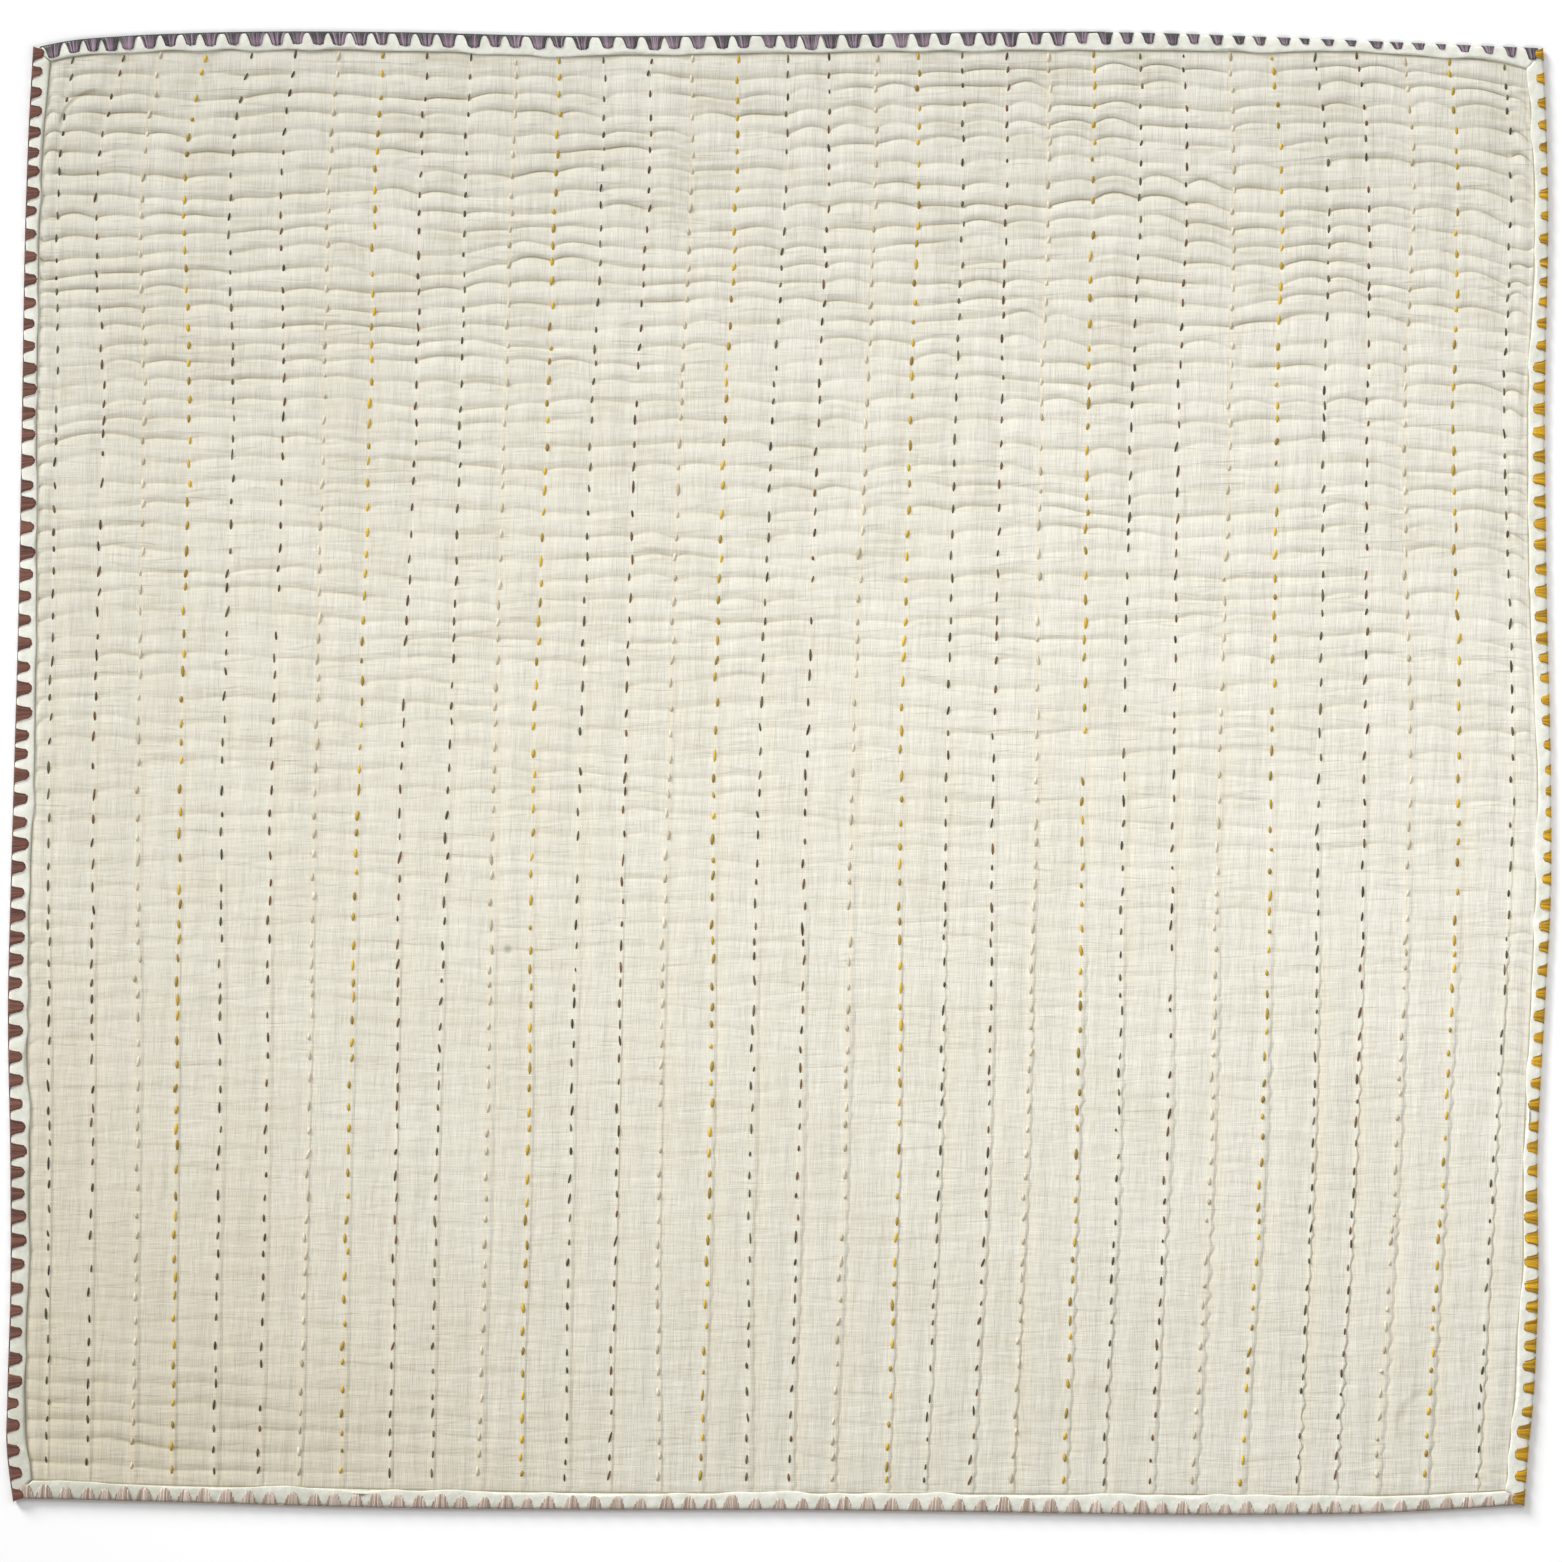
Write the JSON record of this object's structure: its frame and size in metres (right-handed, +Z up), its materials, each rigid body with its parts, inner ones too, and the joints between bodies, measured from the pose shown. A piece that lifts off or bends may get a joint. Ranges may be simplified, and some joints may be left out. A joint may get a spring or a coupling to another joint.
{
  "type": "baby quilt",
  "caption": "Hand-quilted muslin baby quilt laid flat: a softly puckered panel sewn in rows of coloured running stitch, bound all round with a scallop-stitched tape.",
  "frame": {"origin": "on the resting surface, under the middle of the quilt's box", "axes": "+X across the quilting lines, +Y along them towards the top edge, +Z up out of the face"},
  "size_m": [0.9346, 0.8968, 0.0059],
  "materials": {
    "muslin": "soft crinkled cream muslin",
    "cotton_tape": "cool white cotton, satin-stitched along its outer edge"
  },
  "bodies": {
    "root": {"quilt_panel": "muslin", "binding_left": "cotton_tape", "binding_right": "cotton_tape", "binding_bottom": "cotton_tape", "binding_top": "cotton_tape"}
  },
  "joints": []
}
